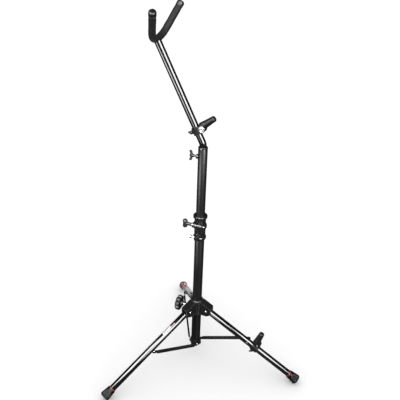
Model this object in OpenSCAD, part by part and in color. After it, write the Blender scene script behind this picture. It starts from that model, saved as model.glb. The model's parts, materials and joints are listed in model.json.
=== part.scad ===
// Folding saxophone stand: a tripod with a telescopic mast, a bent arm with a padded yoke,
// and two padded pegs, one on the arm and one on the front leg.
// Frame: +Z up, origin on the floor under the mast, +X towards the front leg.

/* [Mast] */
// Outer diameter of the lower mast tube
lower_d = 28; // [26:0.5:32]
// Outer diameter of the upper mast tube
upper_d = 25.4; // [23:0.2:25.4]
// Height of the lower mast tube's bottom end above the floor
lower_foot_z = 40; // [38:1:44]
// Height of the lower mast tube's top end
lower_top_z = 470; // [460:1:480]
// Height of the upper mast tube's top end as set
upper_top_z = 713; // [640:1:800]
// Length of the upper mast tube
upper_len = 430; // [300:5:440]
// Wall thickness of the mast tubes
mast_wall = 1; // [1:0.1:1.1]

/* [Arm and yoke] */
// Outer diameter of the arm tube
arm_d = 19; // [18:0.1:19]
// Height of the point where the arm bends
arm_bend_z = 723; // [723:1:820]
// Lean of the arm from vertical, in degrees
arm_lean = 27.5; // [10:0.5:35]
// Length of the arm from its bend to the yoke
arm_len = 288; // [260:1:320]
// Length of the arm hidden in the upper mast
arm_insert = 150; // [100:5:200]
// Slope of the yoke's plane above horizontal, in degrees
yoke_slope = 70; // [55:1:85]
// Outward lean of each prong in the yoke's plane, in degrees
prong_lean = 33; // [20:1:40]
// Radius of the yoke's bottom bends
yoke_bend_r = 50; // [35:1:55]
// Length of each straight prong
prong_len = 75; // [60:1:95]
// Outer diameter of the padded yoke sleeve
sleeve_d = 18.6; // [16:0.2:20]

/* [Tripod] */
// Outer diameter of the leg tubes
leg_d = 20; // [18:0.5:20]
// Distance of the leg pivots from the mast's axis
leg_pivot_r = 34; // [34:0.5:36]
// Height of the leg pivots above the floor
leg_pivot_z = 182; // [180:0.5:184]
// Slope of the open legs below horizontal, in degrees
leg_slope = 29.65; // [29.4:0.05:29.9]
// Length of a leg from its pivot to the end of its foot
leg_len = 345; // [344:0.5:346]
// Distance along the leg from its pivot to the brace's stud
stud_along = 156; // [150:1:160]
// Distance of the brace pivots from the mast's axis, along the leg's direction
brace_pivot_r = 6; // [5:0.5:7]
// Height of the brace pivots above the floor
brace_pivot_z = 44; // [43:0.5:46]
// Height of a brace strap
brace_h = 9.6; // [8:0.2:10]

/* [Pegs] */
// Distance of the arm's peg clamp above the bend
arm_clamp_at = 39; // [30:1:200]
// Distance of the leg's peg clamp from the leg pivot
leg_clamp_at = 184; // [172:1:280]
// Tilt of the pegs from square, in degrees
peg_tilt = 11; // [0:1:20]
// Reach of a peg from its pivot to its tip
peg_reach = 46; // [40:1:55]

/* [Hidden] */
$fn = 64;

FRONT = 0;
REAR = 120;
SIDE = 240;
BLACK = [0.06, 0.06, 0.065];
STEEL = [0.72, 0.72, 0.74];
RUBBER = [0.12, 0.12, 0.12];
RED = [0.55, 0.06, 0.07];

run_gap = 0.05;              // radial clearance of a running fit
free_gap = 0.3;              // clearance between faces that pass each other
lower_r = lower_d / 2;
upper_r = upper_d / 2;
arm_r = arm_d / 2;
arm_wall = 1.2;
leg_r = leg_d / 2;
leg_wall = 1.2;
sleeve_r = sleeve_d / 2;

// clutch between the two mast tubes
band_z = 430;
band_h = 32;
band_bolt_z = band_z + 15;
band_bolt_y = -20.5;
band_bolt_r = 3;
band_lug_x = 7;
band_r = 16.2;
band_low_r = 15.6;
band_rim_r = 18.6;
band_cone_h = 6;
band_rim_h = 5;
collar_z = band_z + band_h;
collar_top_z = 510;
collar_r = 16.5;
collar_lip_r = 20.2;
collar_flange_r = 19.4;
collar_lug_r = 8;
collar_lug_x = 13;
flange_z = 467;
flange_cone_h = 4;
flange_h = 8;
bell_cone_h = 3;
bell_h = 5;
bell_z = collar_top_z - 10;
bell_top_r = 18.4;
bush_r = 15;
clutch_screw_r = 4;
clutch_axis_y = -21;
clutch_axis_z = 485;
clutch_knob_x = -37;
clutch_bar_r = 7.2;
clutch_bar_half = 6.5;
clutch_screw_x = -30;          // the screw's end inside the knob

// top wing screw
wing_stem_r = 3;
top_wing_z = 685;
boss_out = 4.6;

// lower bracket and braces
flat_r = 15.2;               // distance of the bracket's flats from the mast's axis
bracket_r = 17.2;
bracket_z = 38;
bracket_h = 16;
web_t = 1.5;
brace_y = flat_r + free_gap; // inner face of a brace strap
channel_out = 5;
rivet_r = 3;
head_r = 4.4;
stud_spacer_r = 5;
stud_sink = 0.9;             // depth of the stud's head where the tube curves away under it
stud_x = leg_pivot_r + stud_along * cos(leg_slope);
stud_z = leg_pivot_z - stud_along * sin(leg_slope);
brace_len = norm([stud_x - brace_pivot_r, stud_z - brace_pivot_z]);
brace_rise = atan2(stud_z - brace_pivot_z, stud_x - brace_pivot_r);

// hub that slides on the lower mast
hub_flange_in = leg_r + 0.7;
hub_sheet = 2;
hub_bore_r = 15.8;
hub_sleeve_r = 17;
hub_low_z = 165;
hub_arm_z = 166;             // lower edge of the hub's arms
hub_top_z = 211;
hub_web_gap = 17.4;          // from the leg's axis to the top of the hub's web
hub_arm_end = 20;            // how far a hub arm runs past the leg's pivot
knob_z = 180;
knob_r = 24;
knob_face_x = -66;
knob_t = 14;
knob_stem_r = 4;
hub_boss_r = 8.5;

// feet
tube_end = leg_len - 8;
ring_w = 2.6;
ring_r = 12.2;
foot_start = leg_len - 30.4; // where the rubber foot begins
ring_at = foot_start - ring_w;
foot_neck_r = 12.4;
foot_r = 14.8;
foot_edge = 2;

// clamps that carry the pegs, in a frame whose Z runs along the tube
clamp_h = 20;
clamp_t = 3;
clamp_boss_r = 5.6;
clamp_boss_out = 5.5;
ear_in = 4.5;
ear_t = 3;
ear_r = 9.6;
pivot_above = 7.5;           // from the tube's surface to the peg's pivot
pin_r = 3;
disc_r = 8.4;
disc_t = 2.2;
peg_offset = 6;
peg_base = 11.4;
peg_base_r = 11;
peg_tip_r = 8.2;
peg_tip_round = 4;
peg_core_r = 4;
peg_core_half = ear_in - free_gap;
peg_pocket_r = ear_r + 1;    // hollow in the peg's rubber that clears the clamp's ears
wing_span = 16;
wing_depth = 7;
wing_t = 4;
wing_turn = 50;              // how far the clamps' wing screws are turned about their axes
clamp_wing_out = 7.2;        // from the tube's surface to the wing head

// Turns children from the front leg's vertical plane to another leg's
module to_leg(turn) rotate([0, 0, turn]) children();

// Frame at the leg's pivot: Z runs down the leg, -X points up from it
module leg_frame() translate([leg_pivot_r, 0, leg_pivot_z]) rotate([0, 90 + leg_slope, 0]) children();

// Frame at the arm's bend: Z runs up the arm, +X points to the peg's side
module arm_frame() translate([0, 0, arm_bend_z]) rotate([0, -arm_lean, 0]) children();

module arm_clamp_frame() arm_frame() translate([0, 0, arm_clamp_at]) children();

module leg_clamp_frame() leg_frame() translate([0, 0, leg_clamp_at]) rotate([0, 180, 0]) children();

// Frame at the middle of the yoke's bottom: X across the yoke, Y up its plane
module yoke_frame() arm_frame() translate([0, 0, arm_len])
  rotate([0, arm_lean + 90 - yoke_slope, 0]) rotate([90, 0, 90]) children();

module tube(r, wall, h) difference() {
  cylinder(r = r, h = h);
  translate([0, 0, -1]) cylinder(r = r - wall, h = h + 2);
}

module rod_x(r, x0, x1) translate([x0, 0, 0]) rotate([0, 90, 0]) cylinder(r = r, h = x1 - x0);

module rod_y(r, y0, y1) translate([0, y0, 0]) rotate([-90, 0, 0]) cylinder(r = r, h = y1 - y0);

module hex_x(flats, x0, x1) translate([x0, 0, 0]) rotate([0, 90, 0])
  cylinder(r = flats / sqrt(3), h = x1 - x0, $fn = 6);

module hex_y(flats, y0, y1) translate([0, y0, 0]) rotate([-90, 0, 0])
  cylinder(r = flats / sqrt(3), h = y1 - y0, $fn = 6);

// Low domed rivet head on the Y axis, growing from y0
module dome_y(r, y0, t) translate([0, y0, 0]) rotate([-90, 0, 0]) rotate_extrude() intersection() {
  translate([0, t - (r * r + t * t) / (2 * t)]) circle(r = (r * r + t * t) / (2 * t), $fn = 96);
  square([r, t]);
}

// ---- lower mast, the fixed body ----

module lower_mast() color(BLACK) translate([0, 0, lower_foot_z])
  tube(lower_r, mast_wall, lower_top_z - lower_foot_z);

module mast_plug() color(RUBBER) union() {
  translate([0, 0, bracket_z]) cylinder(r = lower_r, h = lower_foot_z - bracket_z);
  translate([0, 0, lower_foot_z]) cylinder(r = lower_r - mast_wall, h = 12);
}

// Cup with three flats; each flat carries the pivot of one brace
module lower_bracket() color(BLACK) difference() {
  translate([0, 0, bracket_z]) intersection() {
    cylinder(r = bracket_r, h = bracket_h);
    rotate([0, 0, 30]) cylinder(r = flat_r * 2, h = bracket_h, $fn = 3);
  }
  translate([0, 0, bracket_z - 1]) cylinder(r = lower_r, h = bracket_h + 2);
  for (turn = [FRONT, REAR, SIDE]) to_leg(turn) translate([brace_pivot_r, 0, brace_pivot_z])
    rod_y(rivet_r, 10, 20);
}

module bracket_rivets() color(STEEL) for (turn = [FRONT, REAR, SIDE])
  to_leg(turn) translate([brace_pivot_r, 0, brace_pivot_z]) union() {
    rod_y(rivet_r, lower_r - 0.4, brace_y + web_t + free_gap);
    dome_y(head_r, brace_y + web_t + free_gap, 2);
  }

module clutch_band() color(BLACK) difference() {
  union() {
    translate([0, 0, band_z]) cylinder(r1 = band_low_r, r2 = band_rim_r, h = band_cone_h);
    translate([0, 0, band_z + band_cone_h]) cylinder(r = band_rim_r, h = band_rim_h);
    translate([0, 0, band_z + band_cone_h + band_rim_h])
      cylinder(r = band_r, h = band_h - band_cone_h - band_rim_h);
    translate([-band_lug_x, band_bolt_y - 6, band_bolt_z - 7]) cube([2 * band_lug_x, 12, 14]);
  }
  translate([0, 0, band_z - 1]) cylinder(r = lower_r, h = band_h + 2);
  translate([-1, -40, band_z - 1]) cube([2, 30, band_h - 8]);
  translate([0, band_bolt_y, band_bolt_z]) rod_x(band_bolt_r, -20, 20);
}

module clutch_band_bolt() color(STEEL) translate([0, band_bolt_y, band_bolt_z]) union() {
  rod_x(band_bolt_r, -18, 14);
  rod_x(4.6, -22, -18);
  rod_x(5.6, -band_lug_x - 1.4, -band_lug_x);
}

module clutch_band_nut() color(STEEL) translate([0, band_bolt_y, band_bolt_z]) difference() {
  hex_x(10, band_lug_x, band_lug_x + 5);
  rod_x(band_bolt_r, band_lug_x - 1, band_lug_x + 6);
}

// Split collar that grips the upper mast
module clutch_collar() color(BLACK) difference() {
  union() {
    translate([0, 0, collar_z]) cylinder(r = collar_r, h = collar_top_z - collar_z);
    translate([0, 0, flange_z]) union() {
      cylinder(r1 = collar_r, r2 = collar_flange_r, h = flange_cone_h);
      translate([0, 0, flange_cone_h]) cylinder(r = collar_flange_r, h = flange_h);
      translate([0, 0, flange_cone_h + flange_h])
        cylinder(r1 = collar_flange_r, r2 = collar_r, h = flange_cone_h);
    }
    translate([0, 0, bell_z]) union() {
      cylinder(r1 = collar_r, r2 = collar_lip_r, h = bell_cone_h);
      translate([0, 0, bell_cone_h]) cylinder(r = collar_lip_r, h = bell_h);
      translate([0, 0, bell_cone_h + bell_h])
        cylinder(r1 = collar_lip_r, r2 = bell_top_r, h = collar_top_z - bell_z - bell_cone_h - bell_h);
    }
    translate([0, clutch_axis_y, clutch_axis_z]) rod_x(collar_lug_r, -collar_lug_x, collar_lug_x);
    translate([-collar_lug_x, clutch_axis_y, clutch_axis_z - collar_lug_r])
      cube([2 * collar_lug_x, 8, 2 * collar_lug_r]);
  }
  translate([0, 0, collar_z - 1]) cylinder(r = lower_r, h = lower_top_z - collar_z + 1);
  translate([0, 0, lower_top_z]) cylinder(r = bush_r, h = 100);
  translate([-1.5, -40, lower_top_z]) cube([3, 30, 80]);
  translate([0, clutch_axis_y, clutch_axis_z]) rod_x(clutch_screw_r + run_gap, -20, 20);
}

module clutch_bush() color(RUBBER) difference() {
  translate([0, 0, lower_top_z]) cylinder(r = bush_r, h = collar_top_z - lower_top_z - 1);
  translate([0, 0, lower_top_z - 1]) cylinder(r = upper_r + run_gap, h = 100);
  translate([-1, -40, lower_top_z + 4]) cube([2, 40, 80]);
}

module clutch_nut() color(STEEL) translate([0, clutch_axis_y, clutch_axis_z]) difference() {
  hex_x(13, collar_lug_x, collar_lug_x + 6);
  rod_x(clutch_screw_r + run_gap, collar_lug_x - 1, collar_lug_x + 7);
}

// ---- clutch handle ----

module clutch_screw() color(STEEL) translate([0, clutch_axis_y, clutch_axis_z]) union() {
  rod_x(clutch_screw_r, clutch_screw_x, 22);
  rod_x(7, -collar_lug_x - 2, -collar_lug_x - free_gap);
}

module clutch_knob() color(BLACK) translate([0, clutch_axis_y, clutch_axis_z]) difference() {
  union() {
    rod_x(5.2, clutch_knob_x, -collar_lug_x - 2);
    translate([clutch_knob_x, 0, -clutch_bar_half]) cylinder(r = clutch_bar_r, h = 2 * clutch_bar_half);
    for (side = [-1, 1]) translate([clutch_knob_x, 0, side * clutch_bar_half]) sphere(r = clutch_bar_r);
  }
  rod_x(clutch_screw_r, clutch_screw_x, 0);
}

// ---- upper mast ----

module upper_mast() color(BLACK) difference() {
  translate([0, 0, upper_top_z - upper_len]) tube(upper_r, mast_wall, upper_len);
  translate([0, 0, top_wing_z]) rod_x(wing_stem_r + run_gap, -30, 0);
}

// Bush that turns in the mast's mouth and guides the arm
module mast_insert() color(RUBBER) difference() {
  union() {
    translate([0, 0, upper_top_z - 22]) cylinder(r = upper_r - mast_wall - run_gap, h = 23);
    translate([0, 0, upper_top_z + 0.2]) cylinder(r = upper_r, h = 1.2);
    translate([0, 0, upper_top_z + 1.4]) cylinder(r1 = upper_r, r2 = upper_r - 0.9, h = 0.9);
  }
  translate([0, 0, upper_top_z - 40]) cylinder(r = arm_r + run_gap, h = 60);
}

module mast_boss() color(STEEL) difference() {
  translate([0, 0, top_wing_z]) rod_x(6.6, -upper_r - boss_out, -upper_r + 2.5);
  cylinder(r = upper_r, h = 900);
  translate([0, 0, top_wing_z]) rod_x(wing_stem_r + run_gap, -30, 0);
}

// ---- wing screws ----

// Wing head on the X axis, growing from x = 0 towards -X
module wing_head(span, depth, t) union() {
  rod_x(5, -depth, 0);
  for (side = [-1, 1]) translate([0, t / 2, 0]) rotate([90, 0, 0]) linear_extrude(t)
    polygon([[-1, 0], [-1, side * 4], [-depth * 0.35, side * (span / 2 - 2)],
      [-depth * 0.55, side * span / 2], [-depth * 1.05, side * (span / 2 - 1)],
      [-depth * 1.15, side * (span / 2 - 4)], [-depth * 0.9, side * 4], [-depth * 0.9, 0]]);
}

// Threaded stem on the X axis from x0 to the wing head at x1, with a shoulder under the head
module wing_stem(x0, x1, shoulder) union() {
  rod_x(wing_stem_r, x1, x0);
  rod_x(4.2, x1, x1 + shoulder);
}

module top_wing() color(BLACK) translate([-28, 0, top_wing_z]) wing_head(30, 9, 4);

module top_wing_stem() color(STEEL) translate([0, 0, top_wing_z]) wing_stem(-arm_r - free_gap, -28, 2.5);

// ---- arm and yoke ----

arm_bend_r = 30;
arm_tangent = arm_bend_r * tan(arm_lean / 2);
arm_end = arm_len - 6;       // the tube's end is cut to the sleeve's shape

joint_swell = 0.05;          // radius added where a bend runs into a straight

// Solid bar of radius r along the arm: hidden straight, bend, then the leaning straight
module arm_bar(r, below, along) union() {
  translate([0, 0, arm_bend_z - arm_tangent - below]) cylinder(r = r, h = below);
  translate([-arm_bend_r, 0, arm_bend_z - arm_tangent]) rotate([90, 0, 0])
    rotate_extrude(angle = arm_lean) translate([arm_bend_r, 0]) circle(r = r);
  arm_frame() translate([0, 0, arm_tangent]) cylinder(r = r, h = along - arm_tangent);
  translate([0, 0, arm_bend_z - arm_tangent]) sphere(r = r + joint_swell);
  arm_frame() translate([0, 0, arm_tangent]) sphere(r = r + joint_swell);
}

module arm_tube() color(BLACK) difference() {
  arm_bar(arm_r, arm_insert, arm_end);
  arm_bar(arm_r - arm_wall, arm_insert + 1, arm_end + 1);
  arm_frame() translate([0, 0, arm_len]) rod_y(sleeve_r + 0.1, -30, 30);
}

yoke_turn = 90 - prong_lean;

// Frame where a bend of the yoke runs into its prong; X points along the +X side's prong
module prong_frame(side) translate([0, yoke_bend_r, 0]) rotate([0, 0, side * yoke_turn])
  translate([0, -yoke_bend_r, 0]) children();

// Solid bar of radius r along the yoke: one round bottom and two straight prongs
module yoke_bar(r, prong) union() {
  translate([0, yoke_bend_r, 0]) rotate([0, 0, -90 - yoke_turn]) rotate_extrude(angle = 2 * yoke_turn)
    translate([yoke_bend_r, 0]) circle(r = r);
  prong_frame(1) rod_x(r, 0, prong);
  prong_frame(-1) rod_x(r, -prong, 0);
  for (side = [-1, 1]) prong_frame(side) sphere(r = r + joint_swell);
}

rod_r = 5;
cap_len = 15;
cap_r = sleeve_r + 0.3;

module yoke_rod() color(STEEL) yoke_frame() yoke_bar(rod_r, prong_len - 8);

module yoke_sleeve() color(RUBBER) yoke_frame() difference() {
  yoke_bar(sleeve_r, prong_len - cap_len);
  yoke_bar(rod_r, prong_len);
}

module yoke_cap() difference() {
  prong_frame(1) union() {
    rod_x(cap_r, prong_len - cap_len, prong_len - 4);
    translate([prong_len - 4, 0, 0]) rotate([0, 90, 0]) rotate_extrude() intersection() {
      union() {
        square([cap_r - 5, 5]);
        translate([cap_r - 5, 0]) circle(r = 5);
      }
      square([cap_r, 5]);
    }
  }
  prong_frame(1) rod_x(rod_r, prong_len - cap_len - 1, prong_len - 8);
}

module yoke_caps() color(BLACK) yoke_frame() union() {
  yoke_cap();
  mirror([1, 0, 0]) yoke_cap();
}

// ---- clamp with a hinged peg, shared by the arm and the front leg ----

module clamp_body(tube_r) difference() {
  union() {
    translate([0, 0, -clamp_h / 2]) cylinder(r = tube_r + clamp_t, h = clamp_h);
    rod_x(clamp_boss_r, -tube_r - clamp_boss_out, -tube_r);
    for (side = [-1, 1]) translate([0, side > 0 ? ear_in : -ear_in - ear_t, 0]) union() {
      translate([0, 0, -ear_r]) cube([tube_r + pivot_above, ear_t, 2 * ear_r]);
      translate([tube_r + pivot_above, 0, 0]) rod_y(ear_r, 0, ear_t);
    }
  }
  translate([0, 0, -clamp_h]) cylinder(r = tube_r + run_gap, h = 2 * clamp_h);
  translate([tube_r + pivot_above, 0, 0]) union() {
    rod_y(pin_r, -20, 20);
    rod_y(disc_r + run_gap, -20, -ear_in - ear_t);
    rod_y(disc_r + run_gap, ear_in + ear_t, 20);
  }
  rod_x(wing_stem_r + run_gap, -tube_r - 20, 0);
}

module clamp_bolt(tube_r) translate([tube_r + pivot_above, 0, 0]) union() {
  rod_y(pin_r, -ear_in - ear_t, ear_in + ear_t + 4);
  rod_y(disc_r, -ear_in - ear_t - disc_t, -ear_in - ear_t);
  rod_y(4.4, -ear_in - ear_t - disc_t - 1.2, -ear_in - ear_t - disc_t);
}

module clamp_nut(tube_r) translate([tube_r + pivot_above, 0, 0]) difference() {
  hex_y(9, ear_in + ear_t, ear_in + ear_t + 3.6);
  rod_y(pin_r, 0, 20);
}

// Frame at the peg's hinge: X along the peg
module peg_frame(tube_r) translate([tube_r + pivot_above, 0, 0]) rotate([0, -peg_tilt, 0]) children();

// Tongue between the clamp's ears, from the hinge to the rubber
module peg_tongue(z0) translate([0, -peg_core_half, z0])
  cube([peg_base, 2 * peg_core_half, peg_offset + peg_core_r - z0]);

module peg_core(tube_r) peg_frame(tube_r) difference() {
  union() {
    rod_y(peg_core_r, -peg_core_half, peg_core_half);
    peg_tongue(-peg_core_r);
    translate([0, 0, peg_offset]) rod_x(peg_core_r, peg_base, peg_reach - 6);
  }
  rod_y(pin_r + run_gap, -20, 20);
  translate([-30, -20, peg_core_r]) cube([30, 40, 40]);
}

// Rubber sleeve that reaches back over the hinge, with a hollow for the clamp's ears
module peg_rubber(tube_r) peg_frame(tube_r) difference() {
  translate([0, 0, peg_offset]) rotate([0, 90, 0]) rotate_extrude() union() {
    polygon([[0, 0], [peg_base_r - 1, 0], [peg_base_r, 1], [peg_tip_r, peg_reach - peg_tip_round],
      [0, peg_reach - peg_tip_round]]);
    translate([peg_tip_r - peg_tip_round, peg_reach - peg_tip_round]) intersection() {
      circle(r = peg_tip_round);
      square(peg_tip_round);
    }
    translate([0, peg_reach - peg_tip_round]) square([peg_tip_r - peg_tip_round, peg_tip_round]);
  }
  rod_y(peg_pocket_r, -20, 20);
  translate([-1, -20, -20]) cube([peg_pocket_r + 1, 40, 20]);
  peg_tongue(-peg_core_r);
  translate([0, 0, peg_offset]) rod_x(peg_core_r, 1, peg_reach - 6);
}

module clamp_wing(tube_r) translate([-tube_r - clamp_wing_out, 0, 0])
  rotate([wing_turn, 0, 0]) wing_head(wing_span, wing_depth, wing_t);

module clamp_wing_stem(tube_r) wing_stem(-tube_r - free_gap, -tube_r - clamp_wing_out, 1.4);

module arm_clamp() color(BLACK) arm_clamp_frame() clamp_body(arm_r);
module arm_pivot_bolt() color(STEEL) arm_clamp_frame() clamp_bolt(arm_r);
module arm_pivot_nut() color(STEEL) arm_clamp_frame() clamp_nut(arm_r);
module arm_peg_core() color(BLACK) arm_clamp_frame() peg_core(arm_r);
module arm_peg_rubber() color(RUBBER) arm_clamp_frame() peg_rubber(arm_r);
module arm_wing() color(BLACK) arm_clamp_frame() clamp_wing(arm_r);
module arm_wing_stem() color(STEEL) arm_clamp_frame() clamp_wing_stem(arm_r);

module leg_clamp() color(BLACK) leg_clamp_frame() clamp_body(leg_r);
module leg_pivot_bolt() color(STEEL) leg_clamp_frame() mirror([0, 1, 0]) clamp_bolt(leg_r);
module leg_pivot_nut() color(BLACK) leg_clamp_frame() mirror([0, 1, 0]) clamp_nut(leg_r);
module leg_peg_core() color(BLACK) leg_clamp_frame() peg_core(leg_r);
module leg_peg_rubber() color(RUBBER) leg_clamp_frame() peg_rubber(leg_r);
module leg_wing() color(BLACK) leg_clamp_frame() clamp_wing(leg_r);
module leg_wing_stem() color(STEEL) leg_clamp_frame() clamp_wing_stem(leg_r);

// ---- sliding hub ----

hub_flange_out = hub_flange_in + hub_sheet;
web_drop = tan(leg_slope);
web_top_x0 = leg_pivot_z + hub_web_gap / cos(leg_slope) + web_drop * leg_pivot_r;

// Height of the web's top at distance x from the mast's axis
function web_top(x) = web_top_x0 - web_drop * x;

arm_x1 = leg_pivot_r + hub_arm_end - 5;

module hub_side_outline() union() {
  polygon([[12, hub_arm_z], [leg_pivot_r + 2, hub_arm_z], [leg_pivot_r + 11, leg_pivot_z - 9],
    [arm_x1, leg_pivot_z - 2], [arm_x1, web_top(arm_x1)], [12, web_top(12)]]);
  translate([leg_pivot_r + 1, leg_pivot_z - 1.4]) circle(r = 13.6);
}

module hub_arm() difference() {
  intersection() {
    translate([0, hub_flange_out, 0]) rotate([90, 0, 0]) linear_extrude(2 * hub_flange_out)
      hub_side_outline();
    translate([0, -50, 0]) cube([100, 100, hub_top_z]);
  }
  translate([0, hub_flange_in, 0]) rotate([90, 0, 0]) linear_extrude(2 * hub_flange_in)
    polygon([[0, 0], [100, 0], [100, web_top(100) - hub_sheet * 1.15], [0, web_top(0) - hub_sheet * 1.15]]);
  translate([leg_pivot_r, 0, leg_pivot_z]) rod_y(rivet_r, -30, 30);
}

// Round boss on the hub's sleeve that the knob screws into
module hub_boss_bar(r, x0) difference() {
  translate([0, 0, knob_z]) rod_x(r, x0, -14);
  cylinder(r = hub_sleeve_r, h = 300);
}

module hub_bracket() color(BLACK) difference() {
  union() {
    for (turn = [FRONT, REAR, SIDE]) to_leg(turn) hub_arm();
    translate([0, 0, hub_low_z]) cylinder(r = hub_sleeve_r, h = hub_top_z - hub_low_z);
  }
  hub_boss_bar(hub_boss_r + run_gap, -60);
  translate([0, 0, hub_low_z - 1]) cylinder(r = hub_bore_r, h = 100);
  translate([0, 0, knob_z]) rod_x(knob_stem_r + run_gap, -40, 0);
}

module hub_bush() color(RUBBER) difference() {
  union() {
    translate([0, 0, hub_low_z + 1]) cylinder(r = hub_bore_r, h = hub_top_z - hub_low_z - 1);
    translate([0, 0, hub_top_z]) cylinder(r = 18.5, h = 2.4);
    translate([0, 0, hub_top_z + 2.4]) cylinder(r1 = 18.5, r2 = 16.6, h = 1.6);
  }
  translate([0, 0, hub_low_z - 1]) cylinder(r = lower_r + run_gap, h = 100);
  translate([0, 0, knob_z]) rod_x(knob_stem_r + run_gap, -40, 0);
}

module hub_boss() color(BLACK) difference() {
  hub_boss_bar(hub_boss_r, -28);
  translate([0, 0, knob_z]) rod_x(knob_stem_r + run_gap, -40, 0);
}

module hub_rivets() color(STEEL) for (turn = [FRONT, REAR, SIDE])
  to_leg(turn) translate([leg_pivot_r, 0, leg_pivot_z]) union() {
    rod_y(rivet_r, -hub_flange_out, hub_flange_out);
    dome_y(head_r, hub_flange_out, 1.8);
    mirror([0, 1, 0]) dome_y(head_r, hub_flange_out, 1.8);
  }

// Round knob with eight finger hollows
module hub_knob() color(BLACK) translate([0, 0, knob_z]) difference() {
  union() {
    rod_x(knob_r, knob_face_x + 2, knob_face_x + knob_t);
    rod_x(knob_r - 3, knob_face_x, knob_face_x + 2);
    rod_x(9, knob_face_x + knob_t, knob_face_x + knob_t + 6);
  }
  for (turn = [22.5:45:360]) rotate([turn, 0, 0]) translate([0, 0, knob_r + 4])
    rod_x(8, knob_face_x - 1, knob_face_x + knob_t + 1);
  rod_x(knob_stem_r, knob_face_x + 6, knob_face_x + 40);
}

module hub_knob_stem() color(STEEL) translate([0, 0, knob_z])
  rod_x(knob_stem_r, knob_face_x + 6, -lower_r - free_gap);

// ---- legs ----

module leg_tube(turn) color(BLACK) to_leg(turn) leg_frame() difference() {
  translate([0, 0, -9]) tube(leg_r, leg_wall, tube_end + 9);
  rod_y(rivet_r + run_gap, -20, 20);
  translate([0, 0, stud_along]) rod_y(rivet_r, -20, 20);
}

// Cross pin through the leg with a spacer that stops just short of the brace
module leg_stud(turn) color(STEEL) to_leg(turn) leg_frame() translate([0, 0, stud_along]) union() {
  rod_y(rivet_r, -leg_r, leg_r);
  difference() {
    union() {
      mirror([0, 1, 0]) dome_y(head_r, leg_r - stud_sink, stud_sink + 1.6);
      rod_y(stud_spacer_r, leg_r - 2, flat_r);
    }
    translate([0, 0, -20]) cylinder(r = leg_r, h = 40);
  }
}

module foot_ring(turn) color(RED) to_leg(turn) leg_frame() translate([0, 0, ring_at]) difference() {
  cylinder(r = ring_r, h = ring_w);
  translate([0, 0, -1]) cylinder(r = leg_r, h = ring_w + 2);
}

module foot(turn) color(RUBBER) difference() {
  to_leg(turn) leg_frame() rotate_extrude() difference() {
    union() {
      polygon([[0, foot_start], [foot_neck_r, foot_start], [foot_r, leg_len - 9],
        [foot_r, leg_len - foot_edge], [foot_r - foot_edge, leg_len], [0, leg_len]]);
      translate([foot_r - foot_edge, leg_len - foot_edge]) circle(r = foot_edge);
    }
    square([leg_r, tube_end]);
    translate([-40, 0]) square([40, 2 * leg_len]);
  }
  translate([-600, -600, -50]) cube([1200, 1200, 50]);
}

// ---- braces ----

// Frame at the brace's pivot on the bracket: X along the brace
module brace_frame(turn) to_leg(turn) translate([brace_pivot_r, 0, brace_pivot_z])
  rotate([0, -brace_rise, 0]) children();

// Steel strap folded to a shallow channel between its two flat ends
module brace(turn) color(BLACK) brace_frame(turn) difference() {
  union() {
    translate([0, brace_y, -brace_h / 2]) cube([brace_len, web_t, brace_h]);
    rod_y(brace_h / 2, brace_y, brace_y + web_t);
    translate([brace_len, 0, 0]) rod_y(brace_h / 2, brace_y, brace_y + web_t);
    for (z0 = [-brace_h / 2, brace_h / 2 - web_t])
      translate([12, brace_y, z0]) cube([brace_len - 24, channel_out, web_t]);
  }
  rod_y(rivet_r + run_gap, 0, 40);
  translate([brace_len, 0, 0]) rod_y(rivet_r, 0, 40);
}

module brace_rivet(turn) color(STEEL) brace_frame(turn) translate([brace_len, 0, 0]) union() {
  rod_y(rivet_r, brace_y, brace_y + web_t);
  dome_y(head_r, brace_y + web_t, 2);
}

lower_mast();
mast_plug();
lower_bracket();
bracket_rivets();
clutch_band();
clutch_band_bolt();
clutch_band_nut();
clutch_collar();
clutch_bush();
clutch_nut();
clutch_screw();
clutch_knob();
upper_mast();
mast_insert();
mast_boss();
top_wing();
top_wing_stem();
arm_tube();
yoke_rod();
yoke_sleeve();
yoke_caps();
arm_clamp();
arm_pivot_bolt();
arm_pivot_nut();
arm_peg_core();
arm_peg_rubber();
arm_wing();
arm_wing_stem();
hub_bracket();
hub_bush();
hub_boss();
hub_rivets();
hub_knob();
hub_knob_stem();
leg_tube(FRONT);  // leg_tube_front
leg_tube(REAR);  // leg_tube_rear
leg_tube(SIDE);  // leg_tube_side
leg_stud(FRONT);  // leg_stud_front
leg_stud(REAR);  // leg_stud_rear
leg_stud(SIDE);  // leg_stud_side
foot_ring(FRONT);  // foot_ring_front
foot_ring(REAR);  // foot_ring_rear
foot_ring(SIDE);  // foot_ring_side
foot(FRONT);  // foot_front
foot(REAR);  // foot_rear
foot(SIDE);  // foot_side
brace(FRONT);  // brace_front
brace(REAR);  // brace_rear
brace(SIDE);  // brace_side
brace_rivet(FRONT);  // brace_rivet_front
brace_rivet(REAR);  // brace_rivet_rear
brace_rivet(SIDE);  // brace_rivet_side
leg_clamp();
leg_pivot_bolt();
leg_pivot_nut();
leg_peg_core();
leg_peg_rubber();
leg_wing();
leg_wing_stem();
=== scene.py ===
"""Folding saxophone stand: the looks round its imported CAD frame. Metres, +Z up, +X towards the front leg."""
import json
import math

import bmesh
import bpy
from mathutils import Matrix, Vector


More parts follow.
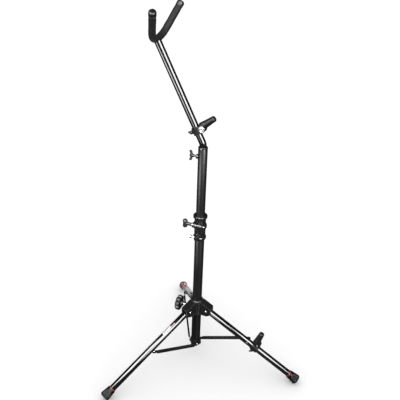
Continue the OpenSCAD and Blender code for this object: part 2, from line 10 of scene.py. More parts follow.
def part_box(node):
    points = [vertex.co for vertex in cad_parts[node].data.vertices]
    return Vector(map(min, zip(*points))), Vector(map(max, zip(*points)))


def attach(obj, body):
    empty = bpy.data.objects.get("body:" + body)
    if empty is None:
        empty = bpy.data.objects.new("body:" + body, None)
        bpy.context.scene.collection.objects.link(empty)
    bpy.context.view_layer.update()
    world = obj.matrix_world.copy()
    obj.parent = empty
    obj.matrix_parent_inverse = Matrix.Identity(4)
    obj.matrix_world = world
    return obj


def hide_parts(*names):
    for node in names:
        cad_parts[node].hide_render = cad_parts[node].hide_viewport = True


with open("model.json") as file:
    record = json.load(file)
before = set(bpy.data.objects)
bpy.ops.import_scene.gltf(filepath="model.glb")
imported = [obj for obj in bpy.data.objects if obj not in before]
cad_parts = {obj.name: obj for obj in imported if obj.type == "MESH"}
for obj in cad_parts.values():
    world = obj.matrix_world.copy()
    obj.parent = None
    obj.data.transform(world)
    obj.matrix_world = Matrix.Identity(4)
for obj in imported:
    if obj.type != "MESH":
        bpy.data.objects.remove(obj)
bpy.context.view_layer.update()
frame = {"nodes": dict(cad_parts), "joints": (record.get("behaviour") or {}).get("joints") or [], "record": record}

MM = 0.001
X, Y, Z = Vector((1, 0, 0)), Vector((0, 1, 0)), Vector((0, 0, 1))
RECORD = frame["record"]
JOINTS = {j["name"]: j for j in frame["joints"]}
BODY = {n: b for b, ns in RECORD["behaviour"]["bodies"].items() for n in ns}
SLOT = {s["node"]: s["material_slot"] for s in RECORD["subparts"]}
LEGS = {"front": 0, "rear": 120, "side": 240}


# ---- places read from the frame ----

def joint_pos(name):
    return Vector(JOINTS[name]["pos_m"])


def joint_axis(name):
    return Vector(JOINTS[name]["axis"]).normalized()


def turned(v, degrees):
    return Matrix.Rotation(math.radians(degrees), 3, "Z") @ v


def basis(origin, z_axis, x_hint):
    """Matrix whose local Z lies along z_axis and whose local X is nearest to x_hint."""
    z = z_axis.normalized()
    x = (x_hint - z * x_hint.dot(z)).normalized()
    y = z.cross(x)
    m = Matrix((x, y, z)).transposed().to_4x4()
    m.translation = origin
    return m


def span(node, m):
    """Lowest and highest local Z, and the largest radius, of a CAD node in frame m."""
    inv = m.inverted()
    local = [inv @ v.co for v in frame["nodes"][node].data.vertices]
    zs = [p.z for p in local]
    return min(zs), max(zs), max(math.hypot(p.x, p.y) for p in local)


def centre(node):
    low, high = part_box(node)
    return (low + high) / 2


LEG_DIR = joint_axis("leg_clamp_slide")
ARM_DIR = joint_axis("arm_clamp_slide")


def leg_frame(leg):
    """Origin at the leg's pivot, Z down the leg, -X upwards from it."""
    direction = turned(LEG_DIR, LEGS[leg])
    return basis(joint_pos(f"leg_{leg}_fold"), direction, turned(-X, LEGS[leg]))


# ---- materials ----

class Paint:
    """A node material: a Principled shader and a few helpers for its texture nodes."""

    def __init__(self, name, **fixed):
        self.mat = bpy.data.materials.new(name)
        self.mat.use_nodes = True
        self.tree = self.mat.node_tree
        self.bsdf = next(n for n in self.tree.nodes if n.type == "BSDF_PRINCIPLED")
        for socket, value in fixed.items():
            self.bsdf.inputs[socket.replace("_", " ")].default_value = value
        self.coords = self.tree.nodes.new("ShaderNodeTexCoord").outputs["Object"]

    def node(self, kind, **inputs):
        n = self.tree.nodes.new(kind)
        for socket, value in inputs.items():
            self.put(n.inputs[socket.replace("_", " ")], value)
        return n

    def put(self, socket, value):
        if isinstance(value, bpy.types.NodeSocket):
            self.tree.links.new(value, socket)
        else:
            socket.default_value = value

    def stretched(self, scale):
        return self.node("ShaderNodeMapping", Vector=self.coords, Scale=scale).outputs["Vector"]

    def noise(self, scale, detail=3.0, stretch=None):
        vector = self.stretched(stretch) if stretch else self.coords
        n = self.node("ShaderNodeTexNoise", Vector=vector, Scale=scale, Detail=detail)
        return n.outputs["Fac"]

    def cells(self, scale):
        return self.node("ShaderNodeTexVoronoi", Vector=self.coords, Scale=scale).outputs["Distance"]

    def remap(self, value, low, high, to_low, to_high):
        n = self.node("ShaderNodeMapRange", Value=value)
        for socket, number in zip(("From Min", "From Max", "To Min", "To Max"),
                                  (low, high, to_low, to_high)):
            n.inputs[socket].default_value = number
        return n.outputs["Result"]

    def math(self, operation, a, b):
        n = self.tree.nodes.new("ShaderNodeMath")
        n.operation = operation
        self.put(n.inputs[0], a)
        self.put(n.inputs[1], b)
        return n.outputs[0]

    def mix(self, factor, a, b):
        n = self.tree.nodes.new("ShaderNodeMix")
        n.data_type = "RGBA"
        self.put(n.inputs["Factor"], factor)
        self.put(n.inputs[6], a)
        self.put(n.inputs[7], b)
        return n.outputs[2]

    def edges(self, radius, low, high):
        """Near 1 on outer edges, where the rounded normal leaves the true one: worn edges, and on the hub a
        painted highlight as well.
        """
        bevel = self.node("ShaderNodeBevel", Radius=radius)
        bevel.samples = 4
        true = self.node("ShaderNodeNewGeometry").outputs["Normal"]
        dot = self.tree.nodes.new("ShaderNodeVectorMath")
        dot.operation = "DOT_PRODUCT"
        self.put(dot.inputs[0], bevel.outputs["Normal"])
        self.put(dot.inputs[1], true)
        return self.remap(self.math("SUBTRACT", 1.0, dot.outputs["Value"]), low, high, 0, 1)

    def bump(self, *layers):
        """Each layer is a height, its strength and its depth in metres."""
        normal = None
        for height, strength, depth in layers:
            n = self.node("ShaderNodeBump", Height=height, Strength=strength, Distance=depth)
            if normal:
                self.put(n.inputs["Normal"], normal)
            normal = n.outputs["Normal"]
        self.put(self.bsdf.inputs["Normal"], normal)

    def colour(self, value):
        self.put(self.bsdf.inputs["Base Color"], value)

    def roughness(self, value):
        self.put(self.bsdf.inputs["Roughness"], value)


def rgb(r, g, b):
    return (r, g, b, 1.0)


def gloss_black():
    """Gloss enamel on a drawn tube: faint orange peel, wipe marks and dust."""
    p = Paint("gloss_black", Coat_Weight=0.6, Coat_Roughness=0.04, IOR=1.5)
    wipe = p.noise(60, 4, (1, 1, 0.25))
    dust = p.remap(p.noise(900, 2), 0.66, 0.78, 0, 1)
    tone = p.mix(wipe, rgb(0.003, 0.003, 0.0035), rgb(0.009, 0.009, 0.010))
    p.colour(p.mix(p.math("MULTIPLY", dust, 0.35), tone, rgb(0.10, 0.10, 0.10)))
    p.roughness(p.math("ADD", p.remap(wipe, 0.3, 0.7, 0.07, 0.16), p.math("MULTIPLY", dust, 0.2)))
    p.bump((p.noise(420, 2), 0.10, 0.0002), (p.noise(2400, 2), 0.04, 0.0001))
    return p.mat


def mast_black():
    """Satin powder coat on the mast, with long draw lines and rub marks from sliding."""
    p = Paint("mast_black", IOR=1.45, Coat_Weight=0.15, Coat_Roughness=0.2)
    lines = p.noise(1.0, 4, (700, 700, 5))
    rub = p.noise(26, 5, (1, 1, 0.35))
    tone = p.mix(rub, rgb(0.003, 0.003, 0.0035), rgb(0.010, 0.0098, 0.0098))
    p.colour(p.mix(p.remap(lines, 0.62, 0.8, 0, 0.4), tone, rgb(0.05, 0.05, 0.052)))
    p.roughness(p.math("ADD", p.remap(rub, 0.3, 0.7, 0.24, 0.38), p.remap(lines, 0.3, 0.8, 0, 0.08)))
    p.bump((lines, 0.08, 0.0002), (p.noise(1800, 3), 0.10, 0.00012))
    return p.mat


def bracket_black(name, edge, least, shine, smooth):
    """Black painted steel pressings: fine grain, and bare metal showing at worn edges. With wide edges, as on the
    hub, the light grey edges are also a painted highlight.
    """
    p = Paint(name, IOR=1.5, Specular_IOR_Level=shine)
    grain = p.noise(2200, 3)
    patches = p.noise(90, 4)
    # Light grey bare metal at the edges: wear, and where the edges are wide (the hub) also a painted highlight.
    edge_wear_and_highlight = p.math("MULTIPLY", p.edges(edge, 0.01, 0.22), p.remap(patches, 0.36, 0.60, least, 1.0))
    tone = p.mix(patches, rgb(0.006, 0.006, 0.0065), rgb(0.020, 0.020, 0.021))
    p.colour(p.mix(edge_wear_and_highlight, tone, rgb(0.42, 0.42, 0.43)))
    p.put(p.bsdf.inputs["Metallic"], p.math("MULTIPLY", edge_wear_and_highlight, 0.8))
    p.roughness(p.remap(patches, 0.3, 0.7, smooth, smooth + 0.12))
    p.bump((grain, 0.18, 0.00015), (patches, 0.05, 0.0006))
    return p.mat


def steel():
    """Bright zinc plate: brushed, slightly stained."""
    p = Paint("steel", Metallic=1.0, Anisotropic=0.2)
    stain = p.noise(180, 5)
    brush = p.noise(1.0, 3, (5200, 900, 900))
    p.colour(p.mix(stain, rgb(0.24, 0.245, 0.255), rgb(0.44, 0.44, 0.43)))
    p.roughness(p.math("ADD", p.remap(stain, 0.3, 0.75, 0.05, 0.12), p.remap(brush, 0.3, 0.7, 0, 0.04)))
    p.bump((brush, 0.12, 0.0001))
    return p.mat


def black_plastic():
    """Moulded nylon: fine spark-eroded grain, polished on its touched edges."""
    p = Paint("black_plastic", IOR=1.5)
    grain = p.cells(2600)
    flow = p.noise(70, 3)
    touched = p.edges(0.0012, 0.02, 0.4)
    p.colour(p.mix(touched, p.mix(flow, rgb(0.008, 0.008, 0.0085), rgb(0.017, 0.017, 0.018)),
                   rgb(0.06, 0.06, 0.06)))
    p.roughness(p.math("SUBTRACT", p.remap(flow, 0.3, 0.7, 0.34, 0.46), p.math("MULTIPLY", touched, 0.14)))
    p.bump((grain, 0.16, 0.00015), (flow, 0.04, 0.0008))
    return p.mat


def foam():
    """Dense moulded foam sleeve: open pores darkened with painted shade, soft mottling and a dusty bloom."""
    p = Paint("foam", IOR=1.4, Specular_IOR_Level=0.16, Sheen_Weight=0.03, Sheen_Roughness=0.5)
    pores = p.cells(1700)
    fine = p.noise(3800, 4)
    mottle = p.noise(75, 4)
    tone = p.mix(mottle, rgb(0.007, 0.007, 0.0075), rgb(0.020, 0.020, 0.021))
    # Painted shade: the colour is darkened inside the pores.
    pore_shade = p.remap(pores, 0.0, 0.35, 1.0, 0.0)
    p.colour(p.mix(p.math("MULTIPLY", pore_shade, 0.7), tone, rgb(0.005, 0.005, 0.005)))
    p.roughness(p.remap(fine, 0.3, 0.7, 0.5, 0.7))
    p.bump((pores, 0.35, 0.0003), (fine, 0.2, 0.0002), (mottle, 0.2, 0.0010))
    return p.mat


def rubber():
    """Matte moulded rubber with scuffs and a grey bloom."""
    p = Paint("rubber", IOR=1.45, Specular_IOR_Level=0.4)
    scuff = p.noise(240, 5, (1, 1, 0.5))
    bloom = p.noise(50, 3)
    tone = p.mix(bloom, rgb(0.004, 0.004, 0.0045), rgb(0.012, 0.012, 0.0125))
    p.colour(p.mix(p.remap(scuff, 0.6, 0.8, 0, 0.5), tone, rgb(0.04, 0.04, 0.04)))
    p.roughness(p.remap(scuff, 0.3, 0.7, 0.26, 0.44))
    p.bump((p.noise(2600, 3), 0.25, 0.0002), (scuff, 0.12, 0.0003))
    return p.mat


def foot_rubber():
    """Hard black rubber of the feet: polished ribs, dusty hollows."""
    p = Paint("foot_rubber", IOR=1.45, Specular_IOR_Level=0.14)
    scuff = p.noise(300, 5, (1, 1, 0.5))
    dust = p.remap(p.noise(700, 3), 0.62, 0.8, 0, 0.4)
    tone = p.mix(scuff, rgb(0.003, 0.003, 0.0035), rgb(0.008, 0.008, 0.008))
    p.colour(p.mix(dust, tone, rgb(0.03, 0.03, 0.029)))
    p.roughness(p.remap(scuff, 0.3, 0.7, 0.14, 0.26))
    p.bump((p.noise(2600, 3), 0.15, 0.0002), (scuff, 0.08, 0.0003))
    return p.mat


def red_ring():
    """Dark red moulded plastic."""
    p = Paint("red_ring", IOR=1.5, Coat_Weight=0.3, Coat_Roughness=0.1)
    shade = p.noise(300, 4)
    grime = p.remap(p.noise(120, 5), 0.5, 0.75, 0, 0.5)
    p.colour(p.mix(grime, p.mix(shade, rgb(0.26, 0.016, 0.012), rgb(0.38, 0.030, 0.020)),
                   rgb(0.10, 0.015, 0.015)))
    p.roughness(p.remap(shade, 0.3, 0.7, 0.2, 0.36))
    p.bump((p.noise(1900, 2), 0.12, 0.0001))
    return p.mat


def sticker(name, light, dark, band):
    """Printed film: cross bands of two tones, with a rubbed, slightly wrinkled face."""
    p = Paint(name, IOR=1.5, Coat_Weight=0.4, Coat_Roughness=0.12)
    waves = p.node("ShaderNodeTexWave", Vector=p.coords, Scale=band, Distortion=0.6)
    rub = p.noise(350, 5)
    tone = p.mix(p.remap(waves.outputs["Fac"], 0.35, 0.65, 0, 1), light, dark)
    p.colour(p.mix(p.remap(rub, 0.6, 0.8, 0, 0.6), tone, rgb(0.12, 0.12, 0.12)))
    p.roughness(p.remap(rub, 0.3, 0.7, 0.25, 0.45))
    p.bump((p.noise(500, 3), 0.12, 0.0002))
    return p.mat


MATERIALS = {
    "mast_black": mast_black(),
    "gloss_black": gloss_black(),
    "bracket_black": bracket_black("bracket_black", 0.0006, 0.1, 0.5, 0.15),
    # Hub: light grey edges, wide and almost all round, partly wear and partly a painted highlight.
    "hub_black_wear_and_highlight": bracket_black("hub_black_wear_and_highlight", 0.0018, 0.7, 0.5, 0.15),
    "clamp_black": bracket_black("clamp_black", 0.0003, 0.0, 0.12, 0.4),
    "steel": steel(),
    "black_plastic": black_plastic(),
    "foam": foam(),
    "rubber": rubber(),
    "foot_rubber": foot_rubber(),
    "red_ring": red_ring(),
}


# ---- mesh helpers ----

SHARP_ANGLE = 28
FLAT_ANGLE = 0.8
WELD_GAP = 2e-6


def new_object(name, bm, smooth_angle=35):
    bmesh.ops.recalc_face_normals(bm, faces=bm.faces)
    mesh = bpy.data.meshes.new(name)
    bm.to_mesh(mesh)
    bm.free()
    obj = bpy.data.objects.new(name, mesh)
    bpy.context.scene.collection.objects.link(obj)
    mesh.shade_smooth()
    mesh.set_sharp_from_angle(angle=math.radians(smooth_angle))
    return obj


def stand_for(obj, node):
    """The piece rides with its CAD node's body, stands for the node and takes its finish."""
    obj.data.materials.clear()
    obj.data.materials.append(MATERIALS[SLOT[node]])
    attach(obj, BODY[node])
    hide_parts(node)
    return obj


def grid_faces(bm, rows, close_rows=False):
    """Skins a list of equal closed rings of vertices."""
    n = len(rows[0])
    pairs = list(zip(rows, rows[1:]))
    if close_rows:
        pairs.append((rows[-1], rows[0]))
    for a, b in pairs:
        for i in range(n):
            j = (i + 1) % n
            bm.faces.new((a[i], a[j], b[j], b[i]))


def ring(bm, m, radius, z, segments):
    """Ring in frame m; radius is a number or a function of the angle."""
    out = []
    for i in range(segments):
        t = 2 * math.pi * i / segments
        r = radius(t) if callable(radius) else radius
        out.append(bm.verts.new(m @ Vector((r * math.cos(t), r * math.sin(t), z))))
    return out


def lathe(bm, m, profile, segments=64, closed=False, ripple=None):
    """Turns profile, a list of (radius, z), round local Z. ripple(r, z, angle) moves the radius."""
    rows = []
    for r, z in profile:
        shape = r if ripple is None else (lambda t, r=r, z=z: r + ripple(r, z, t))
        rows.append(ring(bm, m, shape, z, segments))
    grid_faces(bm, rows, closed)
    if not closed:
        bm.faces.new(rows[0])
        bm.faces.new(rows[-1][::-1])
    return rows


def rounded(points, radius, steps=4):
    """Profile with each inner corner rounded to about the radius."""
    out = [points[0]]
    for before, at, after in zip(points, points[1:], points[2:]):
        p0, p1, p2 = Vector(before), Vector(at), Vector(after)
        cut = min(radius, (p0 - p1).length * 0.45, (p2 - p1).length * 0.45)
        a = p1 + (p0 - p1).normalized() * cut
        b = p1 + (p2 - p1).normalized() * cut
        for k in range(steps + 1):
            t = k / steps
            out.append(tuple(a * (1 - t) ** 2 + p1 * 2 * t * (1 - t) + b * t * t))
    out.append(points[-1])
    return out


def soft_copy(node, width):
    """Copy of a CAD node whose sharp edges are rounded by real geometry, width metres wide."""
    bm = bmesh.new()
    bm.from_mesh(frame["nodes"][node].data)
    bmesh.ops.remove_doubles(bm, verts=bm.verts, dist=WELD_GAP)
    bmesh.ops.dissolve_limit(bm, angle_limit=math.radians(FLAT_ANGLE), verts=bm.verts, edges=bm.edges)
    obj = new_object(f"{node}_formed", bm)
    bevel = obj.modifiers.new("edges", "BEVEL")
    bevel.width = width
    bevel.segments = 2
    bevel.limit_method = "ANGLE"
    bevel.angle_limit = math.radians(SHARP_ANGLE)
    bevel.harden_normals = True
    return stand_for(apply_modifiers(obj), node)


def apply_modifiers(obj):
    bpy.context.view_layer.update()
    depsgraph = bpy.context.evaluated_depsgraph_get()
    mesh = bpy.data.meshes.new_from_object(obj.evaluated_get(depsgraph))
    obj.modifiers.clear()
    obj.data = mesh
    return obj


def hollow_tube(name, m, outer, inner, z0, z1, segments=72):
    """Open tube with rolled rims in frame m."""
    rim = (outer - inner) / 2
    points = [(inner, z0 + rim), (inner + rim * 0.5, z0), (outer - rim * 0.5, z0), (outer, z0 + rim),
              (outer, z1 - rim), (outer - rim * 0.5, z1), (inner + rim * 0.5, z1), (inner, z1 - rim)]
    bm = bmesh.new()
    lathe(bm, m, points, segments, closed=True)
    return new_object(name, bm)


def threads(depth, pitch):
    """Ripple of a V thread."""
    def shape(_, z, t):
        phase = (z / pitch - t / (2 * math.pi)) % 1
        return -depth * abs(2 * phase - 1)
    return shape


def threaded_rod(bm, m, r, z0, z1, pitch=1.0 * MM, segments=32):
    steps = max(6, int((z1 - z0) / (pitch / 6)))
    profile = [(r, z0 + (z1 - z0) * i / steps) for i in range(steps + 1)]
    lathe(bm, m, profile, segments, ripple=threads(pitch * 0.45, pitch))


def swept(bm, points, radius, segments, up):
    """Closed-ended round bar along points; radius is a function of the share of the way and the angle."""
    rows = []
    count = len(points)
    for i, p in enumerate(points):
        ahead = points[min(i + 1, count - 1)] - points[max(i - 1, 0)]
        m = basis(p, ahead, up)
        share = i / (count - 1)
        rows.append(ring(bm, m, lambda t, s=share: radius(s, t), 0, segments))
    grid_faces(bm, rows)
    bm.faces.new(rows[0])
    bm.faces.new(rows[-1][::-1])
    return rows


# ---- tubes ----

LEG_WALL = 1.2 * MM
MAST_WALL = 1.0 * MM


def build_legs():
    for leg in LEGS:
        node = f"leg_tube_{leg}"
        m = leg_frame(leg)
        z0, z1, r = span(node, m)
        stand_for(hollow_tube(f"{node}_drawn", m, r, r - LEG_WALL, z0, z1), node)


def build_masts():
    for node in ("lower_mast", "upper_mast"):
        m = Matrix.Identity(4)
        z0, z1, r = span(node, m)
        stand_for(hollow_tube(f"{node}_drawn", m, r, r - MAST_WALL, z0, z1, 96), node)


def build_mouth_ring():
    """Bare metal edge that shows at the mouth of the upper mast."""
    m = Matrix.Identity(4)
    _, top, r = span("upper_mast", m)
    bm = bmesh.new()
    points = [(r - 0.1 * MM, top - 1.5 * MM), (r + 0.25 * MM, top - 1.4 * MM), (r + 0.4 * MM, top - 0.8 * MM),
              (r + 0.25 * MM, top - 0.1 * MM), (r - 0.5 * MM, top + 0.1 * MM), (r - 0.6 * MM, top - 0.2 * MM)]
    lathe(bm, m, points, 96, closed=True)
    obj = new_object("mouth_ring", bm)
    obj.data.materials.append(MATERIALS["steel"])
    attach(obj, BODY["upper_mast"])


ARM_BEND_R = 30 * MM
ARM_WALL = 1.2 * MM


def arm_points():
    """Centre line of the arm: from its hidden end, round the bend, to the yoke."""
    lean = math.acos(ARM_DIR.z)
    clamp = joint_pos("arm_screw_turn")
    bend = Vector((0, 0, clamp.z - clamp.x / ARM_DIR.x * ARM_DIR.z))
    tangent = ARM_BEND_R * math.tan(lean / 2)
    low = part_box("arm_tube")[0].z
    points = [Vector((0, 0, low)), Vector((0, 0, (low + bend.z) / 2)), bend - Z * (tangent + 1 * MM)]
    for i in range(13):
        a = lean * i / 12
        points.append(bend + Vector((ARM_BEND_R * (math.cos(a) - 1), 0, ARM_BEND_R * math.sin(a) - tangent)))
    m = basis(bend, ARM_DIR, X)
    end = span("arm_tube", m)[1]
    points += [bend + ARM_DIR * (tangent + (end - tangent) * t) for t in (0.1, 0.4, 0.7, 1.0)]
    return points


def build_arm():
    points = arm_points()
    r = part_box("arm_tube")[1].y
    bm = bmesh.new()
    outer = []
    inner = []
    count = len(points)
    for i, p in enumerate(points):
        m = basis(p, points[min(i + 1, count - 1)] - points[max(i - 1, 0)], X)
        outer.append(ring(bm, m, r, 0, 72))
        inner.append(ring(bm, m, r - ARM_WALL, 0, 72))
    grid_faces(bm, outer + inner[::-1], close_rows=True)
    stand_for(new_object("arm_tube_drawn", bm), "arm_tube")


# ---- yoke ----

SLEEVE_R = 9.3 * MM
YOKE_BEND_R = 50 * MM
YOKE_TURN = math.radians(57)
PRONG = 75 * MM
CAP_LEN = 15 * MM
YOKE_SLOPE = math.radians(70)


def yoke_matrix():
    """The yoke stands on the arm's end: its bottom's centre lies where the sleeve's lowest point says."""
    up = Vector((math.cos(YOKE_SLOPE), 0, math.sin(YOKE_SLOPE)))
    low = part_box("yoke_sleeve")[0]
    origin = Vector((low.x + SLEEVE_R, 0, low.z + SLEEVE_R))
    m = Matrix((Y, up, Y.cross(up))).transposed().to_4x4()
    m.translation = origin
    return m


def yoke_line(prong):
    """Points of the yoke's centre line in its own plane, from one prong's end to the other's."""
    arc_steps, straight_steps = 18, 12
    side = []
    for i in range(arc_steps + 1):
        a = YOKE_TURN * i / arc_steps
        side.append(Vector((YOKE_BEND_R * math.sin(a), YOKE_BEND_R * (1 - math.cos(a)), 0)))
    along = Vector((math.cos(YOKE_TURN), math.sin(YOKE_TURN), 0))
    last = side[-1].copy()
    side += [last + along * prong * i / straight_steps for i in range(1, straight_steps + 1)]
    return [Vector((-p.x, p.y, 0)) for p in side[:0:-1]] + side


def build_yoke():
    m = yoke_matrix()
    line = [m @ p for p in yoke_line(PRONG - CAP_LEN)]
    normal = m.to_3x3() @ Z

    def skin(s, t):
        """Slightly uneven foam, drawn in a little where the caps grip it."""
        uneven = (0.10 * math.sin(47 * s + 2 * t) + 0.08 * math.sin(91 * s - 3 * t)
                  + 0.05 * math.sin(5 * t + 13 * s))
        grip = math.exp(-min(s, 1 - s) / 0.012)
        return SLEEVE_R + (uneven - 0.55 * grip) * MM

    bm = bmesh.new()
    swept(bm, line, skin, 56, normal)
    sleeve = stand_for(new_object("yoke_foam_sleeve", bm, 60), "yoke_sleeve")

    bm = bmesh.new()
    swept(bm, [m @ p for p in yoke_line(PRONG - 8 * MM)], lambda s, t: 5 * MM, 32, normal)
    stand_for(new_object("yoke_rod_bent", bm), "yoke_rod")

    bm = bmesh.new()
    r = SLEEVE_R + 0.3 * MM
    lip = 1.6 * MM
    points = [(r * 0.3, -0.4 * MM), (r - 0.3 * MM, -0.4 * MM), (r + 0.15 * MM, 0.5 * MM),
              (r + 0.15 * MM, lip), (r - 0.45 * MM, lip + 0.5 * MM), (r - 0.45 * MM, lip + 1.3 * MM),
              (r, lip + 1.9 * MM),
              (r, CAP_LEN - 4.6 * MM), (r - 1.0 * MM, CAP_LEN - 2.2 * MM), (r - 3.4 * MM, CAP_LEN - 0.5 * MM),
              (r - 6.0 * MM, CAP_LEN)]
    for side in (1, -1):
        out = Vector((side * math.cos(YOKE_TURN), math.sin(YOKE_TURN), 0))
        base = Vector((side * YOKE_BEND_R * math.sin(YOKE_TURN), YOKE_BEND_R * (1 - math.cos(YOKE_TURN)), 0))
        start = m @ (base + out * (PRONG - CAP_LEN))
        lathe(bm, basis(start, m.to_3x3() @ out, normal), rounded(points, 0.8 * MM), 64)
    stand_for(new_object("yoke_rubber_caps", bm), "yoke_caps")


# ---- feet ----

FOOT_RIBS = 20
FOOT_RIB_DEPTH = 0.9 * MM


def build_feet():
    for leg in LEGS:
        m = leg_frame(leg)
        node = f"foot_{leg}"
        _, end, wide = span(node, m)
        ring_low, ring_high, ring_r = span(f"foot_ring_{leg}", m)
        neck = 12.4 * MM
        shoulder = ring_high + 6 * MM

        def ribs(r, z, t, low=shoulder, high=end):
            """Grooves that deepen along the foot and fade into its rounded end."""
            share = min(1, max(0, (z - low) / (5 * MM))) * min(1, max(0, (high - z) / (2 * MM)))
            return -FOOT_RIB_DEPTH * share * (0.5 - 0.5 * math.cos(FOOT_RIBS * t)) ** 3

        outline = [(3 * MM, ring_high), (neck - 0.6 * MM, ring_high), (neck, ring_high + 0.6 * MM),
                   (neck + 0.5 * MM, shoulder), (wide - 0.5 * MM, end - 12 * MM), (wide, end - 8 * MM),
                   (wide, end - 2.6 * MM), (wide - 2.4 * MM, end), (3 * MM, end)]
        outline = fine(rounded(outline, 1.6 * MM), 1.0 * MM)
        bm = bmesh.new()
        lathe(bm, m, outline, FOOT_RIBS * 8, ripple=ribs)
        for v in bm.verts:
            v.co.z = max(v.co.z, 0.0)
        foot = stand_for(new_object(f"{node}_ribbed", bm, 50), node)
        foot.data.materials[0] = MATERIALS["foot_rubber"]

        bm = bmesh.new()
        bore = span(f"leg_tube_{leg}", m)[2] + 0.02 * MM
        profile = [(bore, ring_low), (ring_r - 0.8 * MM, ring_low), (ring_r, ring_low + 0.8 * MM),
                   (ring_r, ring_high - 0.8 * MM), (ring_r - 0.8 * MM, ring_high), (bore, ring_high)]
        lathe(bm, m, rounded(profile, 0.6 * MM), 72, closed=True)
        stand_for(new_object(f"foot_ring_{leg}_moulded", bm), f"foot_ring_{leg}")


def fine(profile, step):
    """The same profile with its long stretches divided."""
    out = [profile[0]]
    for a, b in zip(profile, profile[1:]):
        n = max(1, int((Vector(b) - Vector(a)).length / step))
        out += [tuple(Vector(a).lerp(Vector(b), (k + 1) / n)) for k in range(n)]
    return out


# ---- knobs and wing screws ----

LOBES = 8
LOBE_DEPTH = 4.4 * MM
KNOB_THICK = 14 * MM
GRIP_BAR_R = 7.2 * MM


def build_hub_knob():
    """Fluted hand knob: eight finger hollows, a dished face and a raised rim."""
    low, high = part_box("hub_knob")
    r = (high.z - low.z) / 2
    m = basis(Vector((low.x, 0, centre("hub_knob").z)), X, Z)
    hub_end = high.x - low.x
    points = [(2 * MM, 1.6 * MM), (7 * MM, 1.6 * MM), (8.5 * MM, 0.6 * MM), (11 * MM, 0.6 * MM),
              (12.5 * MM, 2.0 * MM), (r - 6.5 * MM, 2.0 * MM), (r - 4.5 * MM, 0), (r - 3 * MM, 0),
              (r, 3 * MM), (r, KNOB_THICK - 3 * MM), (r - 3 * MM, KNOB_THICK), (12 * MM, KNOB_THICK),
              (9 * MM, KNOB_THICK + 1.5 * MM), (9 * MM, hub_end - 1 * MM), (8 * MM, hub_end),
              (4.2 * MM, hub_end)]

    def lobes(radius, z, a):
        share = min(1, max(0, (radius - 10 * MM) / (r - 10 * MM)))
        return -LOBE_DEPTH * share ** 2 * (math.cos(LOBES * a / 2) ** 2) ** 3

    bm = bmesh.new()
    lathe(bm, m, fine(rounded(points, 1.4 * MM), 1.5 * MM), LOBES * 16, ripple=lobes)
    stand_for(new_object("hub_knob_fluted", bm, 40), "hub_knob")


def build_clutch_knob():
    """T-shaped grip: a waisted neck into a cross bar with a hollow in its outer face."""
    low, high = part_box("clutch_knob")
    mid = centre("clutch_knob")
    axis_x = low.x + GRIP_BAR_R
    half = (high.z - low.z) / 2
    bm = bmesh.new()

    def dish(r, z, a):
        """Hollow on the side away from the clutch, and a flat waist."""
        face = max(0.0, math.cos(a)) ** 4
        level = max(0.0, 1 - (z / (half * 0.62)) ** 2)
        return -2.6 * MM * face * level * min(1, r / GRIP_BAR_R)

    bar = [(0.4 * MM, -half)]
    for i in range(1, 12):
        a = math.pi / 2 * i / 12
        bar.append((GRIP_BAR_R * math.sin(a), -half + GRIP_BAR_R * (1 - math.cos(a))))
    bar += [(GRIP_BAR_R, z * half / 10) for z in range(-4, 5)]
    bar += [(r, -z) for r, z in bar[11::-1]]
    lathe(bm, basis(Vector((axis_x, mid.y, mid.z)), Z, -X), bar, 48, ripple=dish)
    neck_end = high.x - axis_x
    neck = [(5.6 * MM, 2 * MM), (6.2 * MM, 6 * MM), (4.9 * MM, 10 * MM), (4.7 * MM, 16 * MM),
            (5.3 * MM, 20 * MM), (5.3 * MM, neck_end - 0.8 * MM), (4.6 * MM, neck_end)]
    lathe(bm, basis(Vector((axis_x, mid.y, mid.z)), X, Z), fine(rounded(neck, 1.5 * MM), 1 * MM), 40)
    stand_for(new_object("clutch_grip", bm, 45), "clutch_knob")


def wing_screw(name, node, m, wingspan, depth):
    """Pressed wing head: a coned boss and two ears that lean outwards. Local Z points away from the tube."""
    bm = bmesh.new()
    boss = [(1.5 * MM, 0), (5.0 * MM, 0), (5.0 * MM, depth * 0.3), (3.4 * MM, depth * 0.8),
            (2.6 * MM, depth), (1.2 * MM, depth)]
    lathe(bm, m, rounded(boss, 0.8 * MM), 40)
    half = wingspan / 2
    for side in (1, -1):
        outline = [(1.0 * MM, 0.6 * MM), (4.0 * MM, 0.8 * MM), (half - 4 * MM, depth * 0.22),
                   (half - 1 * MM, depth * 0.42), (half, depth * 0.75), (half - 0.6 * MM, depth * 1.02),
                   (half - 2.6 * MM, depth * 1.15), (half - 5 * MM, depth * 1.05), (3.6 * MM, depth * 0.78),
                   (1.0 * MM, depth * 0.8)]
        outline = smooth_loop(outline)
        levels = [(-2.0, 0.55), (-1.7, 0.25), (-1.2, 0.0), (1.2, 0.0), (1.7, 0.25), (2.0, 0.55)]
        middle = Vector((sum(p[0] for p in outline), sum(p[1] for p in outline))) / len(outline)
        rows = []
        for y, inset in levels:
            row = []
            for u, w in outline:
                pull = (middle - Vector((u, w))).normalized() * inset * MM
                row.append(bm.verts.new(m @ Vector((side * (u + pull.x), y * MM, w + pull.y))))
            rows.append(row)
        grid_faces(bm, rows)
        bm.faces.new(rows[0])
        bm.faces.new(rows[-1][::-1])
    return stand_for(new_object(name, bm, 40), node)


def smooth_loop(points, passes=2):
    """Corner cutting of a closed outline."""
    for _ in range(passes):
        out = []
        for a, b in zip(points, points[1:] + points[:1]):
            a, b = Vector(a), Vector(b)
            out += [tuple(a.lerp(b, 0.25)), tuple(a.lerp(b, 0.75))]
        points = out
    return points


WING_TURN = math.radians(50)


